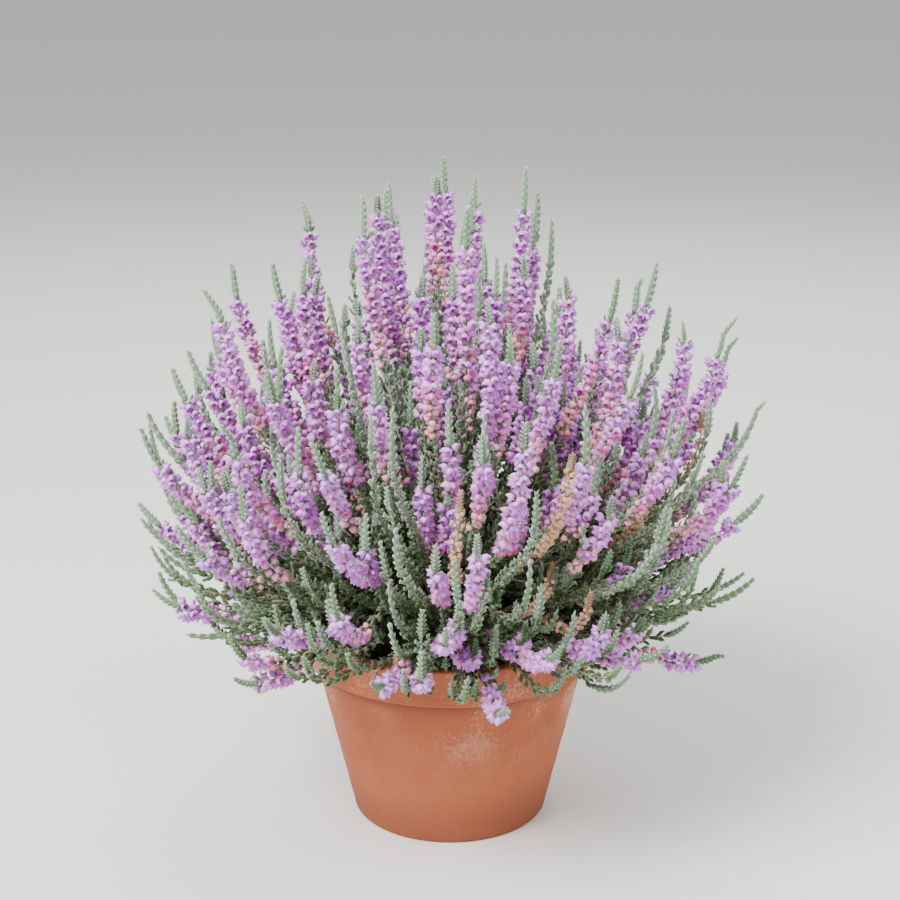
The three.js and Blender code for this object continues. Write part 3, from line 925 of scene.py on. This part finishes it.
def spears(parts, rows):
    """Add a braided spear to each shoot: rings along its tip whose radius falls by the power 0.3 of
    the way left, raised points standing 1.45 of it out and leaning on, low ones 0.72 of it."""
    share = np.arange(SPEAR_RINGS) / SPEAR_RINGS
    r = shoots["tip_foot"][rows][:, None] - 2 + share * (shoots["tip"][rows][:, None] + 2)
    place, along, across, up = pose(np.broadcast_to(rows[:, None], r.shape), r)
    lift = raised(SPEAR_RINGS, RANKS)
    up_or_low = lift[:-2].reshape(SPEAR_RINGS, RANKS)
    radius = SPEAR_RADIUS * (1 - share) ** 0.3 * (0.7 + 0.3 * smooth(share * 4))
    wide = radius[:, None] * np.where(up_or_low > 0, 1.45, 0.72)
    wide = wide * (1 + around(rows, 61, 0.3))[:, None, None]
    a = np.radians(turns(RANKS) + shoots["turn"][rows][:, None, None])
    points = place[:, :, None] + outward(across[:, :, None], up[:, :, None], a) * wide[..., None]
    points = points + along[:, :, None] * (2.2 * up_or_low)[..., None]
    top = point(rows, shoots["reach"][rows])
    points = np.concatenate([points.reshape(len(rows), -1, 3), place[:, :1], top[:, None]], 1)
    t = np.append(np.repeat(share, RANKS), [0.0, 1.0])
    # More down on the spears, and painted shade: those of shoots that lean out low get a lower, darker
    # tone.
    down_and_painted_shade = 0.76 - 0.14 * lowness(shoots["polar"][rows]) + around(rows, 62, 0.24)
    tone = np.where(shoots["dry"][rows], WITHERED, np.clip(down_and_painted_shade, 0, LIVE_TONE))
    places = palette(0.25 + 0.75 * t[None], lift[None], tone[:, None])
    parts.add(points, lattice_faces(SPEAR_RINGS, RANKS), places)


print("a spear has", len(lattice_faces(SPEAR_RINGS, RANKS)), "triangles")


# %% Tubes on the same paths
def tubes(parts, place, along, across, up, radius, tone, columns):
    """Add tubes along paths of points: rings at the given radii, and a point at each end."""
    many, rings = place.shape[:2]
    out = outward(across[:, :, None], up[:, :, None], np.radians(turns(columns)))
    wall = place[:, :, None] + out * radius[..., None, None]
    points = np.concatenate([wall.reshape(many, -1, 3), place[:, :1], place[:, -1:]], 1)
    t = np.append(np.repeat(np.linspace(0, 1, rings), columns), [0.0, 1.0])
    side = np.append(np.tile(np.abs(np.linspace(-1, 1, columns)), rings), [0.5, 0.5])
    parts.add(points, lattice_faces(rings, columns), palette(t[None], side[None], tone[:, None]))


def stems(parts, rows):
    """Add a thin stem to each shoot, from where it parts to inside its spear. Its radius falls by
    the power 0.7 of the way along, with small knots."""
    parts_at = np.where(rows < MAINS, shoots["fork"][rows], shoots["part"][rows])
    start = np.minimum(parts_at, shoots["tip_foot"][rows] - 30)
    t = np.linspace(0, 1, 16)
    r = start[:, None] + t * (shoots["tip_foot"][rows] + 3 - start)[:, None]
    foot = np.where(rows < MAINS, 1.6, 1.1)[:, None]
    radius = foot + (0.62 - foot) * t**0.7 + 0.12 * np.sin(r / 3.1)
    posed = pose(np.broadcast_to(rows[:, None], r.shape), r)
    tubes(parts, *posed, radius, 0.55 + around(rows, 63, 0.3), columns=4)


def boles(parts, k):
    """Add a spray's own stem: upright out of its hole, then a quadratic curve onto its way."""
    lean = math.radians(float(lean_at(SPRAY_POLAR[k], RISE_RADIUS)))
    foot = ring(SPRAY_AZIMUTH[k], HEART_DEPTH * math.tan(lean), SOIL_LEVEL)
    knee, far = 88.0, 132.0
    upright = np.array([0.0, 0.0, 1.0])
    t = np.linspace(0, 1, 14)[:, None]
    join = HEART + way_at(SPRAY_POLAR[k], SPRAY_AZIMUTH[k], knee) * knee
    bend = (1 - t) ** 2 * foot + 2 * t * (1 - t) * (foot + 16 * upright) + t**2 * join
    r = np.linspace(knee, far, 8)[1:]
    rest = HEART + way_at(SPRAY_POLAR[k], SPRAY_AZIMUTH[k], r) * r[:, None]
    path = np.vstack([foot - 27 * upright, foot - 12 * upright, bend, rest])
    along = unit(np.gradient(path, axis=0))
    across = square_to(along, ring(SPRAY_AZIMUTH[k] + 90, 1.0, 0.0))
    share = np.linspace(0, 1, len(path))
    radius = 3.15 - 1.35 * share + 0.25 * np.sin(9 * share + k) * (share > 0.2)
    tone = np.array([0.12 + 0.1 * draw(k, 64)])
    posed = (v[None] for v in (path, along, across, np.cross(along, across), radius))
    tubes(parts, *posed, tone, columns=10)


# %% [markdown]
# ## Dressing the sprays
#
# Towards a shoot's tip the side shoots are smaller, lie closer and have more down. Near the heart,
# and on shoots that lean out low, they are painted darker and greener, as shade. A few short ones
# show between a spike's florets. One mesh could hold it all, but each spray gives three pieces, for
# its leaves, its wood and its florets, so that they can replace its solids in the model.

# %% Dress each spray
LEAF_FOOT = 96.0
LEAF_PITCH = 5.25
SHORT_PITCH = 1.08 * LEAF_PITCH
SPIKE_LEAF_PITCH = 9.0

spike_spray = main["spray"][with_spikes]
for k in range(SPRAYS):
    rows = item[shoots["spray"] == k]
    leaves, wood, bells = Parts(), Parts(), Parts()
    kinds = ((rows[rows < SHOOTS], SIDE_SHOOT, LEAF_PITCH),
             (rows[rows >= SHOOTS], SHORT_SHOOT, SHORT_PITCH))
    for group, template, pitch in kinds:
        first = np.where(group < MAINS, LEAF_FOOT, shoots["part"][group] + 12)
        on, order, r = stations(group, first, shoots["leaf_top"][group], pitch)
        out = r / shoots["reach"][on]
        size = 1.0 - 0.24 * smooth((out - 0.35) / 0.5)
        # Painted shade: the tone is lower, so darker and greener, near the heart and on shoots that
        # lean out low.
        tone = 0.06 + 0.66 * smooth((r - 90) / 190) + 0.1 * out - 0.2 * lowness(shoots["polar"][on])
        side_shoots(leaves, template, on, order, r,
                    spread=56 - 26 * out, long=11.0 * size, thick=3.6 - 0.4 * out, tone=tone)
    flowering = rows[with_florets[rows]]
    foot, top = shoots["leaf_top"][flowering], shoots["tip_foot"][flowering]
    side_shoots(leaves, SHORT_SHOOT, *stations(flowering, foot, top, SPIKE_LEAF_PITCH),
                spread=48, long=8.4, thick=2.3, tone=0.72)
    florets(bells, *stations(flowering, foot, top + 1, WHORL_PITCH))
    spears(leaves, rows)
    stems(wood, rows)
    boles(wood, k)
    foliage = make_piece(f"foliage_{k + 1:02d}", leaves, foliage_finish)
    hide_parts(f"leafy_spray_{k + 1:02d}")
    make_piece(f"stems_{k + 1:02d}", wood, stem_finish)
    bloom = make_piece(f"florets_{k + 1:02d}", bells, floret_finish)
    stood_for = [f"flower_spike_{n + 1:02d}" for n in np.flatnonzero(spike_spray == k)]
    if stood_for:
        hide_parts(*stood_for)

# %% [markdown]
# ## The pot
#
# A pot is a profile turned round an axis. A Screw modifier could turn it, but a grid of profile
# points by angles is as short in numpy and gives control of every ring: the rim is rounded, the band
# under it leaves a small shadow line, and faint turning lines run round the wall.


# %% A turned pot
def turned(profile, sides):
    """A closed ring of a surface: each profile point, a radius and a height, carried round."""
    points = ring(turns(sides), profile[:, 0:1], profile[:, 1:2]).reshape(-1, 3)
    rings = np.arange(len(points)).reshape(-1, sides)
    faces = [band(after, before)[:, ::-1] for before, after in zip(rings, np.roll(rings, -1, axis=0))]
    return points, np.concatenate(faces)


def rounded(profile, radii, steps=6):
    """A closed outline with its corners rounded: each corner becomes a quadratic curve between the
    points that lie its radius away on either side."""
    out = []
    for k, (corner, radius) in enumerate(zip(profile, radii)):
        before, after = profile[k - 1], profile[(k + 1) % len(profile)]
        a = corner + radius * unit(before - corner)
        b = corner + radius * unit(after - corner)
        t = np.linspace(0, 1, steps)[:, None]
        out.append((1 - t) ** 2 * a + 2 * t * (1 - t) * corner + t**2 * b)
    return np.vstack(out)


# %% The pot's profile
DRAIN, FOOT, WALL = 11.0, 77.0, 8.5
LIP = RIM_RADIUS - WALL
LONGEST_STEP = 6
TURNING_DEPTH = 0.1
corners_and_radii = np.array([
    (DRAIN, 0, 1.0),
    (FOOT, 0, 2.5),
    (RIM_RADIUS - 10.5, POT_HEIGHT - BAND, 1.5),
    (RIM_RADIUS - 2.2, POT_HEIGHT - BAND + 1, 2.5),
    (RIM_RADIUS, POT_HEIGHT, 3.2),
    (LIP, POT_HEIGHT, 2.5),
    (LIP - 2, POT_HEIGHT - 4, 2.5),
    (FOOT - WALL, WALL, 6.0),
    (DRAIN, WALL, 1.0),
])
outline = rounded(corners_and_radii[:, :2], corners_and_radii[:, 2])
steps = []
for a, b in zip(outline, np.roll(outline, -1, axis=0)):
    cuts = max(1, int(np.linalg.norm(b - a) // LONGEST_STEP))
    steps.append(a + (b - a) * (np.arange(cuts) / cuts)[:, None])
outline = np.vstack(steps)
outside = (outline[:, 0] > FOOT - 1) & (outline[:, 1] > 3) & (outline[:, 1] < POT_HEIGHT - 3)
turning_lines = TURNING_DEPTH * (np.sin(outline[:, 1] * 1.3) - 1)
outline[:, 0] += np.where(outside, turning_lines, 0)
print("pot profile points:", len(outline))

# %% The pot
points, faces = turned(outline, 96)
clay = Parts()
clay.add(points[None], faces)
pot = make_piece("clay_pot", clay, clay_finish)
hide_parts("pot")

# %% [markdown]
# ## Soil with bits of bark
#
# The soil is a low mound with lumps, kept just inside the pot's wall. A texture could displace it,
# but products of sines make lumps as well, and are easy to sample where the crumbs lie. Crumbs and
# bits of bark are flattened, roughened stones of twenty faces each.


# %% The soil's surface
def soil_height(x, y):
    """The mound, lower by the square of the way out, plus lumps that are products of two sines."""
    out = np.hypot(x, y) / SOIL_RADIUS
    broad_lumps = np.sin(x / 6.1 + y / 9.7) * np.sin(y / 7.3 - x / 11.9)
    lumps = broad_lumps + 0.6 * np.sin(x / 3.1) * np.sin(y / 2.7)
    return SOIL_LEVEL - 1.6 - 3.2 * out**2 + 0.9 * lumps * (1 - out**6)


rings, sides = 30, 84
out = SOIL_RADIUS * ((np.arange(rings) + 1) / rings)[:, None]
top = ring(turns(sides), out, 0 * out)
top[..., 2] = soil_height(top[..., 0], top[..., 1])
low_level = WALL + 1.0
base = ring(turns(sides), FOOT - WALL - 1.0, low_level)
points = np.vstack([top.reshape(-1, 3), base, [[0, 0, soil_height(0, 0)]], [[0, 0, low_level]]])
centre, under = len(points) - 2, len(points) - 1
grid = np.arange(centre).reshape(-1, sides)
faces = [fan(centre, grid[0])]
faces += [band(outer, inner) for inner, outer in zip(grid, grid[1:])]
faces.append(fan(under, grid[-1])[:, ::-1])
earth_map = np.stack([0.1 + 0.001 * points[:, 0], 0.5 + 0.001 * points[:, 1]], -1)
soil_parts = Parts()
soil_parts.add(points[None], np.concatenate(faces), earth_map[None])
print("soil grid:", rings, "by", sides)

# %% Bits of bark and crumbs
CRUMBS = 420
lower, upper = ring(turns(5), 0.894, -0.447), ring(turns(5) + 36, 0.894, 0.447)
stone = np.vstack([[[0, 0, -1.0]], lower, upper, [[0, 0, 1.0]]])

n = np.arange(CRUMBS)
size = 1.2 + 4.2 * draw(n, 72) ** 3
place = ring(GOLDEN * n, (SOIL_RADIUS - 7) * np.sqrt(draw(n, 71)), 0.0)
place[:, 2] = soil_height(place[:, 0], place[:, 1]) + 0.2 * size
z_axis = unit(np.stack([around(n, 73, 0.8), around(n, 74, 0.8), 1 + 0 * n], -1))
x_axis = unit(np.cross(ring(360 * draw(n, 75), 1.0, 0.0), z_axis))
rough = stone[None] * (1 + around(n[:, None] * 12 + np.arange(12), 76, 0.5))[..., None]
rough = rough * np.stack([1 + 0 * n, 0.4 + 0.4 * draw(n, 77), 0.3 + 0.2 * draw(n, 78)], -1)[:, None]
made = copies(rough, place, x_axis, np.cross(z_axis, x_axis), z_axis, size, size)
bits_map = palette(0.7 + 0.05 * stone[None, :, 0], 0.5 + 0.4 * stone[None, :, 2], draw(n, 79)[:, None])
soil_parts.add(made, two_ring_faces(5), bits_map)
soil = make_piece("soil_bed", soil_parts, soil_finish)
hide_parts("soil")

# %% [markdown]
# ## Floor, light and camera
#
# The floor is a disc so wide that its edge is lost in the distance. An overcast sky is a very large
# soft light from above, and a sun lamp would be too hard for it. A pale world does most of it, a big
# area light from the upper left front gives the shoots a bright side, and weaker ones from the right
# and from behind fill their shadows. The camera looks slightly down, as a person does who looks at a
# plant on the ground.


# %% A wide pale floor
def disc(widest, rings, sides):
    """Points of a level disc: its centre, then rings whose radii grow as a power of three."""
    out = widest * (np.arange(1, rings + 1) / rings)[:, None] ** 3
    points = ring(turns(sides), out, 0 * out).reshape(-1, 3)
    grid = 1 + np.arange(len(points)).reshape(rings, sides)
    bands = [band(outer, inner) for inner, outer in zip(grid, grid[1:])]
    return np.vstack([[[0, 0, 0]], points]), np.concatenate([fan(0, grid[0]), *bands])


floor_points, floor_faces = disc(40.0, 16, 48)
floor_mesh = bpy.data.meshes.new("floor")
floor_mesh.from_pydata(floor_points.tolist(), [], floor_faces.tolist())
floor_finish, shader, here = start_finish("pale_floor")
connect(shader, Base_Color=paint(236, 236, 232), Roughness=0.9)
floor_mesh.materials.append(floor_finish)
add_object("floor", floor_mesh)
print("floor:", len(floor_faces), "triangles")


# %% Lights
def aimed(obj, target):
    """Turn an object so that its own minus z axis looks at a target."""
    way = np.array(target) - np.array(obj.location)
    obj.rotation_euler = Vector(way).to_track_quat("-Z", "Y").to_euler()


MIDDLE = (0.0, 0.0, 0.28)


def soft_light(name, place, width, watts):
    """A square area light at a place, aimed at the middle of the plant."""
    lamp = bpy.data.lights.new(name, "AREA")
    lamp.shape, lamp.size, lamp.energy = "SQUARE", width, watts
    obj = add_object(name, lamp)
    obj.location = place
    aimed(obj, MIDDLE)
    print(f"{name}: {watts:.0f} W")


soft_light("sky_left", (-1.4, -1.5, 2.4), 1.2, 178.0)
soft_light("sky_right", (1.9, -0.6, 1.8), 1.6, 26.0)
soft_light("sky_behind", (0.3, 1.8, 2.2), 1.6, 40.0)
world = bpy.data.worlds.new("overcast")
bpy.context.scene.world = world
world.use_nodes = True
sky = world.node_tree.nodes["Background"]
sky.inputs["Color"].default_value = paint(238, 240, 243)
sky.inputs["Strength"].default_value = 0.73

# %% Camera
VIEW_ELEVATION = math.radians(16.5)
VIEW_DISTANCE = 1.35
VIEW_CENTRE = 0.296
camera_data = bpy.data.cameras.new("camera")
camera_data.lens = 70.0
camera_data.sensor_width = 36.0
camera = add_object("camera", camera_data)
camera.location = (0.0, -VIEW_DISTANCE * math.cos(VIEW_ELEVATION),
                   VIEW_CENTRE + VIEW_DISTANCE * math.sin(VIEW_ELEVATION))
aimed(camera, (0.0, 0.0, VIEW_CENTRE))
bpy.context.scene.camera = camera
print("camera at", tuple(round(v, 3) for v in camera.location))

# %% [markdown]
# ## Last counts
#
# The triangles are counted, in all and in the piece that has the most. The dressed plant
# must fit the box of the imported model.

# %% Sizes, and the end
print("triangles in all:", sum(triangles.values()), "the most in a piece:", max(triangles.values()))
